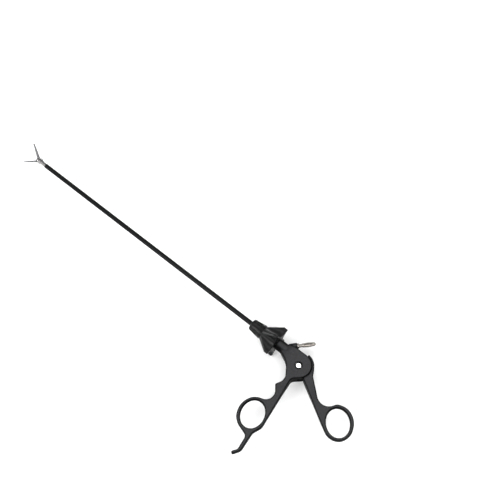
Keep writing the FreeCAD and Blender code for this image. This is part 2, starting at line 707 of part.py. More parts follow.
def star(scale_tip, tip_round, valley):
    # closed star of equal lobes: each crest arc runs tangent into the hollow between two wings
    count = int(value("wing_count"))
    half = math.pi / count
    crest = scale_tip - tip_round
    # the hollow's arc touches both crest arcs from outside and reaches down to the valley radius
    hollow = (crest ** 2 + valley ** 2 - 2 * crest * valley * math.cos(half) - tip_round ** 2) / (
        2 * (tip_round + crest * math.cos(half) - valley))
    pieces = []
    for index in range(count):
        middle = math.degrees(2 * half * index) + 90
        tip = polar((0, 0), crest, middle)
        nadir = polar((0, 0), valley + hollow, middle + math.degrees(half))
        facing = math.degrees(math.atan2(nadir.y - tip.y, nadir.x - tip.x))
        spread = (facing - middle + 180) % 360 - 180
        pieces.append(arc(tip, tip_round, middle - spread, middle + spread))
        aim = middle + math.degrees(half) + 180
        open_half = (facing + 180 - aim + 180) % 360 - 180
        pieces.append(arc(nadir, hollow, aim + open_half, aim - open_half))
    return pieces


def rotation_knob():
    # five-winged thumb wheel, lofted from a round nose into a star
    body = new_body("rotation_knob")
    front = new_sketch(body, "YZ_Plane", "knob_nose", "collar_length + seam_length")
    nose = value("knob_front_radius")
    draw(front, star(nose, 0.57 * nose, 0.91 * nose))
    crest = new_sketch(body, "YZ_Plane", "knob_star", "knob_crest_start")
    draw(crest, star(value("wing_radius"), value("wing_round"), value("valley_radius")))
    loft = body.newObject("PartDesign::AdditiveLoft", "knob_cone")
    loft.Profile = front
    loft.Sections = [crest]
    loft.Ruled = True
    doc.recompute()
    if loft.Shape.isNull():
        raise RuntimeError("knob_cone is empty")
    rear = new_sketch(body, "YZ_Plane", "knob_rear", "knob_crest_start")
    draw(rear, star(value("wing_radius"), value("wing_round"), value("valley_radius")))
    pad(body, rear, "knob_rim", "knob_end - knob_crest_start")
    end = value("knob_end")
    edges = []
    for index, edge in enumerate(body.Tip.Shape.Edges):
        box = edge.BoundBox
        if box.XMin > end - 0.01:
            edges.append("Edge%d" % (index + 1))
    soft = body.newObject("PartDesign::Fillet", "knob_rear_edge")
    soft.Base = (body.Tip, edges) if body.Tip != soft else (soft.BaseFeature, edges)
    soft.setExpression("Radius", bound("knob_edge"))
    doc.recompute()
    bore = new_sketch(body, "YZ_Plane", "knob_bore", "collar_length")
    circle(bore, "0", "0", "spigot_radius + slip_gap")
    cut(body, bore, "knob_bore_cut", "2 * knob_end")
    return body


def distal(u, spin, flip=False):
    # places a piece of the jaw group: along the shaft, turned about its pivot, rolled with the fork
    roll = FreeCAD.Rotation(Vector(1, 0, 0), value("jaw_roll") + (180 if flip else 0))
    place = Vector(-value("jaw_pivot_reach") + u, 0, 0)
    return FreeCAD.Placement(place, roll.multiply(FreeCAD.Rotation(Vector(0, 0, 1), spin)))


def fork():
    # slotted steel fork that carries the jaws, its tail inside the sleeve and tube
    body = turned_body("distal_fork", [
        ("-fork_nose", "0"), ("-fork_nose", "fork_radius - 0.25"), ("-fork_nose + 0.25", "fork_radius"),
        ("fork_length", "fork_radius"), ("fork_length", "sleeve_radius - sleeve_wall - slip_gap"),
        ("fork_length + fork_tail", "sleeve_radius - sleeve_wall - slip_gap"),
        ("fork_length + fork_tail", "sleeve_radius - sleeve_wall - tube_wall - 2 * slip_gap"),
        ("fork_length + fork_tail + fork_spigot", "sleeve_radius - sleeve_wall - tube_wall - 2 * slip_gap"),
        ("fork_length + fork_tail + fork_spigot", "0")])
    bore = profile(new_sketch(body, "XY_Plane", "rod_bore_section"), [
        ("fork_length", "0"), ("fork_length", "tang_radius + rod_bore_gap"),
        ("fork_length + fork_tail + fork_spigot + 1", "tang_radius + rod_bore_gap"),
        ("fork_length + fork_tail + fork_spigot + 1", "0")])
    turn(body, bore, "rod_bore", groove=True)
    slot = profile(new_sketch(body, "XZ_Plane", "fork_slot_outline"), [
        ("-fork_nose - 1", "-0.5 * fork_slot"), ("fork_slot_depth", "-0.5 * fork_slot"),
        ("fork_slot_depth", "0.5 * fork_slot"), ("-fork_nose - 1", "0.5 * fork_slot")])
    cut(body, slot, "fork_slot_cut", "4 * fork_radius")
    ear = value("fork_nose")
    wide = value("fork_radius") + 1.0
    nose = new_sketch(body, "XY_Plane", "ear_rounding")
    draw(nose, [arc((0, 0), ear, 90, 270)] + lines([
        (0, -ear), (0, -wide), (-wide - 1, -wide), (-wide - 1, wide), (0, wide), (0, ear)]))
    cut(body, nose, "ear_rounding_cut", "4 * fork_radius")
    hole = circle(new_sketch(body, "XY_Plane", "fork_pin_hole"), "0", "0", "jaw_pin_radius + 0.01")
    cut(body, hole, "fork_pin_bore", "4 * fork_radius")
    body.Placement = distal(0, 0)
    return body


def jaw(name, flip):
    # half-round jaw with a toothed face, its tail crossing the pivot to the far side
    body = turned_body(name, [
        ("-jaw_length", "0"), ("-jaw_length", "0.45 * jaw_tip_radius"),
        ("-jaw_length + 0.3 * jaw_tip_radius", "0.85 * jaw_tip_radius"),
        ("-jaw_length + 0.9 * jaw_tip_radius", "jaw_tip_radius"), ("-0.5 * jaw_length", "jaw_mid_radius"),
        ("-0.25 * jaw_length", "0.5 * jaw_base_radius + 0.5 * jaw_mid_radius"),
        ("-jaw_clear", "jaw_base_radius"), ("0", "jaw_base_radius"), ("0", "0")])
    half = profile(new_sketch(body, "XY_Plane", "far_half"), [
        ("-jaw_length - 1", "-2 * jaw_base_radius"), ("1", "-2 * jaw_base_radius"),
        ("1", "jaw_face_gap"), ("-jaw_length - 1", "jaw_face_gap")])
    cut(body, half, "far_half_cut", "4 * jaw_base_radius")
    clear = circle(new_sketch(body, "XY_Plane", "pivot_clearance"), "0", "0", "jaw_clear")
    cut(body, clear, "pivot_clearance_cut", "4 * jaw_base_radius")
    first = "-jaw_length + 1.2"
    tooth = profile(new_sketch(body, "XY_Plane", "tooth_outline"), [
        (first, "-jaw_face_gap"), (first + " + 0.75 * tooth_pitch", "-jaw_face_gap"),
        (first + " + 0.375 * tooth_pitch", "jaw_face_gap + tooth_depth")])
    notch = cut(body, tooth, "tooth_cut", "4 * jaw_base_radius")
    teeth = body.newObject("PartDesign::LinearPattern", "teeth")
    teeth.Originals = [notch]
    teeth.Direction = (origin_part(body, "X_Axis"), [""])
    teeth.setExpression("Length", bound("tooth_pitch * (tooth_count - 1)"))
    teeth.setExpression("Occurrences", bound("tooth_count"))
    body.Tip = teeth
    doc.recompute()
    boss = value("jaw_boss_radius")
    eye = value("eye_radius")
    reach = value("tail_reach")
    angle = -value("tail_angle_closed")
    tail = new_sketch(body, "XY_Plane", "tail_outline", "stack_gap")
    end = polar((0, 0), reach, angle)
    lean = math.degrees(math.asin((boss - eye) / reach))
    # the neck reaches forward into the jaw, the tail tapers tangentially from boss to eye
    upper_start = polar((0, 0), boss, angle + 90 - lean)
    upper_end = polar((end.x, end.y), eye, angle + 90 - lean)
    lower_start = polar((0, 0), boss, angle - 90 + lean)
    lower_end = polar((end.x, end.y), eye, angle - 90 + lean)
    face = value("jaw_face_gap")
    neck = -value("jaw_clear") - 1.4
    lip = -math.sqrt(boss ** 2 - face ** 2)
    pieces = [
        Part.LineSegment(Vector(neck, face, 0), Vector(neck, boss, 0)),
        Part.LineSegment(Vector(neck, boss, 0), Vector(0, boss, 0)),
        arc((0, 0), boss, 90, angle + 90 - lean),
        Part.LineSegment(upper_start, upper_end),
        arc((end.x, end.y), eye, angle + 90 - lean, angle - 90 + lean),
        Part.LineSegment(lower_end, lower_start),
        arc((0, 0), boss, angle - 90 + lean, -180 - math.degrees(math.asin(face / boss))),
        Part.LineSegment(Vector(lip, face, 0), Vector(neck, face, 0)),
    ]
    draw(tail, pieces)
    pad(body, tail, "tail", "tail_thickness")
    hole = circle(new_sketch(body, "XY_Plane", "jaw_pin_hole"), "0", "0", "jaw_pin_radius + run_gap")
    cut(body, hole, "jaw_pin_bore", "4 * jaw_base_radius")
    eye_hole = new_sketch(body, "XY_Plane", "eye_hole")
    eye_hole.addGeometry(Part.Circle(end, Vector(0, 0, 1), value("stud_radius + stud_clearance")), False)
    cut(body, eye_hole, "eye_bore", "4 * jaw_base_radius")
    body.Placement = distal(0, -value("jaw_open"), flip)
    return body


def link(name, flip):
    # flat link with an eye at each end and its own stud at the jaw's end
    body = new_body(name)
    eye = value("eye_radius")
    length = value("link_length")
    level = "2 * stack_gap + tail_thickness"
    outline = new_sketch(body, "XY_Plane", "link_outline", level)
    draw(outline, [arc((0, 0), eye, -90, 90), arc((-length, 0), eye, 90, 270)]
         + lines([(0, eye), (-length, eye)]) + lines([(-length, -eye), (0, -eye)]))
    pad(body, outline, "link_plate", "link_thickness")
    top = level + " + link_thickness"
    for way, side in (("", "upper"), ("-", "lower")):
        # bevels the outer edges, so that the closed link stays inside the tube's outline
        bevel = new_sketch(body, "YZ_Plane", side + "_bevel")
        profile(bevel, [(way + "(eye_radius - link_bevel)", top),
                        (way + "(eye_radius - link_bevel)", top + " + 0.2"),
                        (way + "(eye_radius + 0.2)", top + " + 0.2"),
                        (way + "(eye_radius + 0.2)", top + " - link_bevel"),
                        (way + "eye_radius", top + " - link_bevel")])
        cut(body, bevel, side + "_bevel_cut", "4 * link_length")
    hole = circle(new_sketch(body, "XY_Plane", "link_pin_hole"), "0", "0", "link_pin_radius + run_gap")
    cut(body, hole, "link_pin_bore", "8 * fork_radius")
    hole = circle(new_sketch(body, "XY_Plane", "link_stud_hole"), "-link_length", "0", "stud_radius")
    cut(body, hole, "link_stud_bore", "8 * fork_radius")
    place = distal(value("rod_pin_reach"), value("link_angle"), flip)
    body.Placement = place
    stud = doc.addObject("Part::Cylinder", name + "_stud")
    stud.Label = name + "_stud"
    stud.setExpression("Radius", bound("stud_radius"))
    stud.setExpression("Height", bound("stack_gap + tail_thickness + link_thickness"))
    foot = FreeCAD.Placement(Vector(-length, 0, value("stack_gap")), FreeCAD.Rotation())
    stud.Placement = place.multiply(foot)


def pins():
    # jaw pivot pin, and the drive pin through the rod's tang and both links
    link_stack = "2 * stack_gap + tail_thickness + link_thickness"
    for name, radius, half, u in (("jaw_pin", "jaw_pin_radius", "fork_radius - 0.1", 0.0),
                                  ("drive_pin", "link_pin_radius", link_stack, value("rod_pin_reach"))):
        pin = doc.addObject("Part::Cylinder", name)
        pin.Label = name
        pin.setExpression("Radius", bound(radius))
        pin.setExpression("Height", bound("2 * (" + half + ")"))
        foot = FreeCAD.Placement(Vector(0, 0, -value(half)), FreeCAD.Rotation())
        pin.Placement = distal(u, 0).multiply(foot)


def drive_rod():
    # flat-ended tang, long rod and the ball that the thumb lever pulls
    tang = turned_body("rod_tang", [
        ("-eye_radius", "0"), ("-eye_radius", "tang_radius - 0.2"), ("-eye_radius + 0.2", "tang_radius"),
        ("tang_length", "tang_radius"), ("tang_length", "0")])
    flats = new_sketch(tang, "XZ_Plane", "tang_flats")
    level = "stack_gap + tail_thickness"
    for way in ("", "-"):
        profile_start = way + "(" + level + ")"
        outer = way + "2 * tang_radius"
        shift_flats(flats, profile_start, outer)
    cut(tang, flats, "tang_flats_cut", "4 * tang_radius")
    hole = circle(new_sketch(tang, "XY_Plane", "tang_hole"), "0", "0", "link_pin_radius + 0.01")
    cut(tang, hole, "tang_bore", "4 * tang_radius")
    tang.Placement = distal(value("rod_pin_reach"), 0)
    swing = value("thumb_swing")
    ball_x = pivot[0] - value("thumb_arm") * math.sin(math.radians(0.5 * swing))
    length = ball_x + value("jaw_pivot_reach") - value("rod_pin_reach") - value("tang_length")
    rod = doc.addObject("Part::Cylinder", "drive_rod")
    rod.Label = "drive_rod"
    rod.setExpression("Radius", bound("rod_radius"))
    rod.Height = length
    rod.Placement = FreeCAD.Placement(Vector(ball_x - length, 0, 0), FreeCAD.Rotation(Vector(0, 1, 0), 90))
    ball = doc.addObject("Part::Sphere", "ball_blank")
    ball.setExpression("Radius", bound("ball_radius"))
    bore = doc.addObject("Part::Cylinder", "ball_bore")
    bore.setExpression("Radius", bound("rod_radius + 0.01"))
    bore.setExpression("Height", bound("2 * ball_radius"))
    bore.Placement = FreeCAD.Placement(Vector(0, 0, 0), FreeCAD.Rotation(Vector(0, 1, 0), -90))
    end = doc.addObject("Part::Cut", "rod_ball")
    end.Label = "rod_ball"
    end.Base = ball
    end.Tool = bore
    doc.recompute()
    end.Placement = FreeCAD.Placement(Vector(ball_x, 0, 0), FreeCAD.Rotation())


def shift_flats(sketch, inner, outer):
    # one closed rectangle beside the tang's flat, bound to the sheet
    first = sketch.GeometryCount
    corners = [("-2 * eye_radius", inner), ("2.6 * eye_radius", inner),
               ("2.6 * eye_radius", outer), ("-2 * eye_radius", outer)]
    points = [(value(across), value(up)) for across, up in corners]
    for piece in lines(points + points[:1]):
        sketch.addGeometry(piece, False)
    for index, (across, up) in enumerate(corners):
        following = first + (index + 1) % len(corners)
        sketch.addConstraint(Sketcher.Constraint("Coincident", first + index, 2, following, 1))
        spot = points[index]
        for kind, text, number in (("DistanceX", across, spot[0]), ("DistanceY", up, spot[1])):
            place = sketch.addConstraint(Sketcher.Constraint(kind, -1, 1, first + index, 1, number))
            sketch.setExpression("Constraints[%d]" % place, bound(text))


front_handle()
thumb_handle()
pivot_hardware()
plug()
shaft_core()
rotation_knob()
fork()
jaw("upper_jaw", False)
jaw("lower_jaw", True)
link("upper_link", False)
link("lower_link", True)
pins()
drive_rod()
doc.recompute()

helpers = ("ball_blank", "ball_bore")
nodes = [item for item in doc.Objects
         if item.isDerivedFrom("PartDesign::Body")
         or (item.TypeId.startswith("Part::") and item.Name not in helpers)]
for item in doc.Objects:
    if any(state in ("Invalid", "Error") for state in item.State):
        raise RuntimeError("failed: " + item.Name)
os.makedirs("parts", exist_ok=True)
for node in nodes:
    if node.Shape.isNull() or not node.Shape.isValid() or not node.Shape.Solids:
        raise RuntimeError("bad shape: " + node.Label)
    print(node.Label, len(node.Shape.Solids), round(node.Shape.Volume, 3))
for node in nodes:
    node.Shape.exportStep("parts/" + node.Label + ".step")
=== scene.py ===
import math

import bpy
import numpy as np
from mathutils import Matrix, Vector


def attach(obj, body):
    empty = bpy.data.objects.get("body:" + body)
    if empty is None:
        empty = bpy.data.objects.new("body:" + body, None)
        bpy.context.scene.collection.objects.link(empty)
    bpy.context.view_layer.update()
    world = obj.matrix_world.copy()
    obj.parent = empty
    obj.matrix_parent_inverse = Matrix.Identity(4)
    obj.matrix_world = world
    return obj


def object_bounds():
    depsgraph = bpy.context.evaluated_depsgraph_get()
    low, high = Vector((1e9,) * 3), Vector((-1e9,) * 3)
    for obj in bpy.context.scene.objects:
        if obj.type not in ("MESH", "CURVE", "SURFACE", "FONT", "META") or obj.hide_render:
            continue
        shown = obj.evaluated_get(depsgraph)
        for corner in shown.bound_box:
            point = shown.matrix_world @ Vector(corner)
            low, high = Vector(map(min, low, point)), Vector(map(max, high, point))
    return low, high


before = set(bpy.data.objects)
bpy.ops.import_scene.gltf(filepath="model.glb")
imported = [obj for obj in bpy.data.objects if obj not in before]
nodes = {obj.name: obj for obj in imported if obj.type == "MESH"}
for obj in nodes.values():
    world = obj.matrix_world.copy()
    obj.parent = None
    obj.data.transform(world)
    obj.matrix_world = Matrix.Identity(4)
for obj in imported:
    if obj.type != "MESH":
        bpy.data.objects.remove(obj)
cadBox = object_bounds()

# lengths are in metres and angles in degrees
plugLean = 47  # between the plug pin and the shaft's axis


def newMaterial(name):
    # a node material with its shader and output joined; gives both, with one function that adds a node and
    # one that links two sockets
    material = bpy.data.materials.new(name)
    material.use_nodes = True
    tree = material.node_tree
    tree.nodes.clear()
    output = tree.nodes.new("ShaderNodeOutputMaterial")
    shader = tree.nodes.new("ShaderNodeBsdfPrincipled")
    tree.links.new(shader.outputs["BSDF"], output.inputs["Surface"])

    def add(kind, links=None, **settings):
        # one node; settings go to its fields or sockets, links name the sockets that feed it
        node = tree.nodes.new("ShaderNode" + kind)
        for key, setting in settings.items():
            if hasattr(node, key):
                setattr(node, key, setting)
            else:
                node.inputs[key].default_value = setting
        for key, source in (links or {}).items():
            tree.links.new(source, node.inputs[key])
        return node

    return material, shader, add, tree.links.new


def stretchedPlace(add, scale, turn=(0, 0, 0)):
    # object coordinates, scaled and turned, so that a grain can run along a piece
    place = add("TexCoord")
    mapping = add("Mapping", {"Vector": place.outputs["Object"]})
    mapping.inputs["Rotation"].default_value = [math.radians(angle) for angle in turn]
    mapping.inputs["Scale"].default_value = scale
    return mapping.outputs["Vector"]


def opaque(tone):
    # a colour socket's value from red, green and blue
    return (*tone, 1)


def shaded(tone, share):
    # the tone times a share, no brighter than white
    return opaque([min(1, level * share) for level in tone])


def spreadOver(add, source, low, high):
    # maps a noise of 0 to 1 onto the range from low to high
    return add("MapRange", {"Value": source}, **{"To Min": low, "To Max": high}).outputs["Result"]


# side values are for walls and rims, whose darker tone is painted shade; the ranges for the rubbed and shaded
# edges and for the rims are cosines
mouldedFinish = {
    "grainSize": 0.0005, "grainDepth": 0.000014, "grainStrength": 0.6, "cellShare": 0.6,
    "mottleSize": 0.009, "speckSize": 0.0016, "blotchRange": (0.2, 0.8), "blotchShare": (0.62, 1.38),
    "litFaceTone": 0.024, "shadedSideTone": 0.003, "rubAndShadeTone": 0.004, "coolness": 1.07,
    "faceRough": 0.46, "sideRough": 0.36, "roughSpread": 0.07, "faceGloss": 0.14, "sideGloss": 0.01,
    "edgeReach": 0.0008, "rubAndShadeRange": (0.995, 0.86), "rimReach": 0.0032, "rimRange": (0.82, 0.998),
    "faceAxis": "Z",
}
turnedFinish = dict(
    mouldedFinish, faceRough=0.3, sideRough=0.3, litFaceTone=0.0045, shadedSideTone=0.0035,
    sideGloss=0.14, faceGloss=0.16, rimRange=(1.0, 0.3), faceAxis="X")


def mouldedPlastic(name, finish):
    # moulded plastic: the faces that look along the face axis, or across it on a turned piece, have the
    # sparked skin and a lighter tone, and the walls and rims, or a turned piece's end faces, are painted
    # darker as shade
    material, shader, add, link = newMaterial(name)
    place = stretchedPlace(add, (1, 1, 1))
    mottle = add("TexNoise", {"Vector": place}, Scale=1 / finish["mottleSize"], Detail=4.0, Roughness=0.6)
    speck = add("TexNoise", {"Vector": place}, Scale=1 / finish["speckSize"], Detail=2.0, Roughness=0.5)
    grain = add("TexNoise", {"Vector": place}, Scale=1 / finish["grainSize"], Detail=3.0, Roughness=0.7)
    cells = add("TexVoronoi", {"Vector": place}, Scale=finish["cellShare"] / finish["grainSize"])

    def between(low, high):
        # one shader number, from low on the walls to high on the faces
        mix = add("Mix", {"Factor": sparkedFacesShadedWalls.outputs["Result"]}, data_type="FLOAT")
        mix.inputs["A"].default_value = low
        mix.inputs["B"].default_value = high
        return mix.outputs["Result"]

    def tone(level):
        # a grey with its blue share raised by the coolness
        return opaque((level, level, level * finish["coolness"]))

    # rubbed edges, part wear and part painted shade that darkens them: where the rounded normal leaves the
    # true one, in patches of the mottle
    edge = add("Bevel", samples=6, Radius=finish["edgeReach"])
    flat = add("NewGeometry")
    match = add("VectorMath", {0: edge.outputs["Normal"], 1: flat.outputs["Normal"]}, operation="DOT_PRODUCT")
    rubShadeStart, rubShadeFull = finish["rubAndShadeRange"]
    rubbedAndShaded = add("MapRange", {"Value": match.outputs["Value"]},
                 **{"From Min": rubShadeStart, "From Max": rubShadeFull})
    patchyRubAndShade = add("Math", {0: rubbedAndShaded.outputs["Result"], 1: mottle.outputs["Fac"]}, operation="MULTIPLY")

    # sparked faces and painted shade on the walls: the widely rounded normal's share along the face axis,
    # taken smoothly over the rim range
    wide = add("Bevel", samples=8, Radius=finish["rimReach"])
    own = add("VectorTransform", {"Vector": wide.outputs["Normal"]}, vector_type="NORMAL",
              convert_from="WORLD", convert_to="OBJECT")
    facing = add("SeparateXYZ", {"Vector": own.outputs["Vector"]})
    upward = add("Math", {0: facing.outputs[finish["faceAxis"]]}, operation="ABSOLUTE")
    dark, light = finish["rimRange"]
    sparkedFacesShadedWalls = add("MapRange", {"Value": upward.outputs["Value"]}, interpolation_type="SMOOTHSTEP",
                  **{"From Min": dark, "From Max": light})

    # colour: the lit tone of the faces or the painted shade of the walls times an uneven share, with the
    # edges rubbed and painted darker
    blotch = add("Mix", {"Factor": mottle.outputs["Fac"], "A": speck.outputs["Fac"],
                         "B": cells.outputs["Distance"]}, data_type="FLOAT")
    low, high = finish["blotchRange"]
    least, most = finish["blotchShare"]
    share = add("MapRange", {"Value": blotch.outputs["Result"]},
                **{"From Min": low, "From Max": high, "To Min": least, "To Max": most})
    # painted shade: walls and rims take the much darker shaded side tone, faces the lit face tone
    body = add("Mix", {"Factor": sparkedFacesShadedWalls.outputs["Result"]}, data_type="RGBA")
    body.inputs["A"].default_value = tone(finish["shadedSideTone"])
    body.inputs["B"].default_value = tone(finish["litFaceTone"])
    uneven = add("VectorMath", {0: body.outputs["Result"], 3: share.outputs["Result"]}, operation="SCALE")
    # painted shade and wear: the rubbed edges, in patches, take the dark rub and shade tone
    colour = add("Mix", {"Factor": patchyRubAndShade.outputs["Value"], "A": uneven.outputs["Vector"]}, data_type="RGBA")
    colour.inputs["B"].default_value = tone(finish["rubAndShadeTone"])
    link(colour.outputs["Result"], shader.inputs["Base Color"])

    # roughness: that of face or wall plus a spread with the mottle; gloss goes by face or wall alone
    spread = spreadOver(add, mottle.outputs["Fac"], -finish["roughSpread"], finish["roughSpread"])
    rough = add("Math", {0: between(finish["sideRough"], finish["faceRough"]), 1: spread}, operation="ADD")
    link(rough.outputs["Value"], shader.inputs["Roughness"])
    link(between(finish["sideGloss"], finish["faceGloss"]), shader.inputs["Specular IOR Level"])

    # bump: fine grain, levelled towards the cells' borders
    depth = add("Mix", {"Factor": cells.outputs["Distance"], "A": grain.outputs["Fac"]}, data_type="FLOAT")
    depth.inputs["B"].default_value = 1.0
    bump = add("Bump", {"Height": depth.outputs["Result"], "Normal": edge.outputs["Normal"]},
               Strength=finish["grainStrength"], Distance=finish["grainDepth"])
    link(bump.outputs["Normal"], shader.inputs["Normal"])
    return material


sleeveFinish = {
    "tone": (0.003, 0.003, 0.0034), "darkest": 0.8, "palest": 1.5, "gloss": 0.1, "rough": (0.2, 0.36),
    "scuffScale": (14, 900, 900), "rippleScale": (60, 240, 240),
    "rippleStrength": 0.3, "rippleDepth": 0.00004,
}


def insulationCoat(name, finish):
    # shrunk black sleeve: smooth and faintly glossy, with slow ripples and hair-fine scuffs along the shaft
    material, shader, add, link = newMaterial(name)
    scuff = add("TexNoise", {"Vector": stretchedPlace(add, finish["scuffScale"])},
                Scale=1.0, Detail=5.0, Roughness=0.7)
    ripple = add("TexNoise", {"Vector": stretchedPlace(add, finish["rippleScale"])}, Scale=1.0, Detail=2.0)
    body = add("Mix", {"Factor": scuff.outputs["Fac"]}, data_type="RGBA")
    body.inputs["A"].default_value = shaded(finish["tone"], finish["darkest"])
    body.inputs["B"].default_value = shaded(finish["tone"], finish["palest"])
    link(body.outputs["Result"], shader.inputs["Base Color"])
    link(spreadOver(add, scuff.outputs["Fac"], *finish["rough"]), shader.inputs["Roughness"])
    bump = add("Bump", {"Height": ripple.outputs["Fac"]},
               Strength=finish["rippleStrength"], Distance=finish["rippleDepth"])
    link(bump.outputs["Normal"], shader.inputs["Normal"])
    shader.inputs["Specular IOR Level"].default_value = finish["gloss"]
    return material


steelFinish = {
    "filmScale": 420.0, "darkest": 0.78, "palest": 1.16, "smoothest": 0.7, "roughest": 1.35,
    "edgeReach": 0.00012, "lineStrength": 0.35, "lineDepth": 0.00002,
}
plugTurn = (0, 0, -plugLean)
steels = {
    "turnedSteel": {"tone": (0.60, 0.60, 0.61), "lines": (4000, 300, 300), "rough": 0.24},
    "screwSteel": {"tone": (0.80, 0.80, 0.81), "lines": (900, 900, 900), "rough": 0.2},
    "forkSteel": {"tone": (0.27, 0.26, 0.26), "lines": (600, 2500, 2500), "rough": 0.26},
    "jawSteel": {"tone": (0.16, 0.16, 0.165), "lines": (500, 4000, 4000), "rough": 0.32},
    "pinSteel": {"tone": (0.22, 0.205, 0.19), "lines": (2500, 2500, 500), "rough": 0.2, "turn": plugTurn},
    "springMetal": {"tone": (0.26, 0.24, 0.22), "lines": (3000, 3000, 600), "rough": 0.24, "turn": plugTurn},
}


def workedSteel(name, steel):
    # machined steel: fine lines along the cut, darker film in patches and softly rounded edges
    material, shader, add, link = newMaterial(name)
    along = stretchedPlace(add, steel["lines"], steel.get("turn", (0, 0, 0)))
    lines = add("TexNoise", {"Vector": along}, Scale=1.0, Detail=6.0, Roughness=0.75)
    even = stretchedPlace(add, (1, 1, 1))
    film = add("TexNoise", {"Vector": even}, Scale=steelFinish["filmScale"], Detail=3.0)
    body = add("Mix", {"Factor": film.outputs["Fac"]}, data_type="RGBA")
    body.inputs["A"].default_value = shaded(steel["tone"], steelFinish["darkest"])
    body.inputs["B"].default_value = shaded(steel["tone"], steelFinish["palest"])
    link(body.outputs["Result"], shader.inputs["Base Color"])
    shader.inputs["Metallic"].default_value = 1.0
    smoothest = steel["rough"] * steelFinish["smoothest"]
    roughest = steel["rough"] * steelFinish["roughest"]
    link(spreadOver(add, lines.outputs["Fac"], smoothest, roughest), shader.inputs["Roughness"])
    edge = add("Bevel", samples=6, Radius=steelFinish["edgeReach"])
    bump = add("Bump", {"Height": lines.outputs["Fac"], "Normal": edge.outputs["Normal"]},
               Strength=steelFinish["lineStrength"], Distance=steelFinish["lineDepth"])
    link(bump.outputs["Normal"], shader.inputs["Normal"])
    return material


sealFinish = {
    "dustScale": 900.0, "clean": (0.3, (0.012, 0.012, 0.012)), "dusty": (0.8, (0.035, 0.034, 0.032)),
    "rough": (0.7, 0.9),
}


def sealRubber(name, finish):
    # soft black seal, dull, with a paler tone where the dust noise is high
    material, shader, add, link = newMaterial(name)
    dust = add("TexNoise", {"Vector": stretchedPlace(add, (1, 1, 1))}, Scale=finish["dustScale"], Detail=4.0)
    tones = add("ValToRGB", {"Fac": dust.outputs["Fac"]})
    for element, (place, tone) in zip(tones.color_ramp.elements, (finish["clean"], finish["dusty"])):
        element.position = place
        element.color = opaque(tone)
    link(tones.outputs["Color"], shader.inputs["Base Color"])
    link(spreadOver(add, dust.outputs["Fac"], *finish["rough"]), shader.inputs["Roughness"])
    return material


handlePlastic = mouldedPlastic("handlePlastic", mouldedFinish)
knobPlastic = mouldedPlastic("knobPlastic", turnedFinish)
sleeveCoat = insulationCoat("sleeveCoat", sleeveFinish)
metals = {name: workedSteel(name, steel) for name, steel in steels.items()}
seal = sealRubber("seal", sealFinish)

finishOf = {
    "front_handle": handlePlastic, "thumb_handle": handlePlastic,
    "rotation_knob": knobPlastic, "nose_collar": knobPlastic, "seam_ring": knobPlastic,
    "pivot_screw": metals["screwSteel"], "pivot_nut": metals["screwSteel"],
    "insulation_sleeve": sleeveCoat, "hf_pin": metals["pinSteel"], "contact_plunger": metals["pinSteel"],
    "spigot_seal": seal, "rod_seal": seal,
    "upper_jaw": metals["jawSteel"], "lower_jaw": metals["jawSteel"],
    "distal_fork": metals["forkSteel"], "outer_tube": metals["forkSteel"],
}
for name, piece in nodes.items():
    piece.data.materials.clear()
    piece.data.materials.append(finishOf.get(name, metals["turnedSteel"]))
print("finishes on", len(nodes), "pieces")


def skin(name, rows, finish, body, looped):
    # surface grid of rows by ring points: each ring closes on itself, and the rows close too or end in poles;
    # the faces are turned outwards by the sign of the enclosed volume, a sum of the corners' triple products
    count, ring = rows.shape[:2]
    points = rows.reshape(-1, 3)
    row = np.arange(count if looped else count - 1)[:, None]
    spot = np.arange(ring)[None, :]
    ahead, beside = (row + 1) % count, (spot + 1) % ring
    cells = [row * ring + spot, ahead * ring + spot, ahead * ring + beside, row * ring + beside]
    quads = np.stack(cells, -1).reshape(-1, 4)
    faces = np.concatenate([quads[:, [0, 1, 2]], quads[:, [0, 2, 3]]])
    if not looped:
        points = np.concatenate([points, rows[0].mean(0)[None], rows[-1].mean(0)[None]])
        first, last = count * ring, count * ring + 1
        start, end = spot[0], (count - 1) * ring + spot[0]
        near = np.stack([np.full(ring, first), start, beside[0]], 1)
        far = np.stack([np.full(ring, last), (count - 1) * ring + beside[0], end], 1)
        faces = np.concatenate([faces, near, far])
    corners = points[faces]
    volume = (corners[:, 0] * np.cross(corners[:, 1], corners[:, 2])).sum()
    if volume < 0:
        faces = faces[:, ::-1]
    mesh = bpy.data.meshes.new(name)
    mesh.from_pydata(points.tolist(), [], faces.tolist())
    mesh.shade_smooth()
    mesh.materials.append(finish)
    piece = bpy.data.objects.new(name, mesh)
    bpy.context.scene.collection.objects.link(piece)
    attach(piece, body)


def sweep(centre, outward, upward, width, height, steps):
    # oval section at each point of a path: width times cosine outward plus height times sine upward
    turn = np.linspace(0, 2 * np.pi, steps, endpoint=False)[None, :, None]
    return (centre[:, None, :] + np.cos(turn) * width[:, None, None] * outward[:, None, :]
            + np.sin(turn) * height * upward[:, None, :])


seams = {
    "fingerSeam": {"centre": (0.0600, -0.0702), "half": (0.0143, 0.0115), "tilt": 108, "body": "handle"},
    "thumbSeam": {"centre": (0.1275, -0.0259), "half": (0.0145, 0.0113), "tilt": 135, "body": "thumb"},
}
seamShape = {"height": 0.00011, "width": 0.00022, "ripple": 0.2, "waves": 9, "steps": 240, "ring": 12}


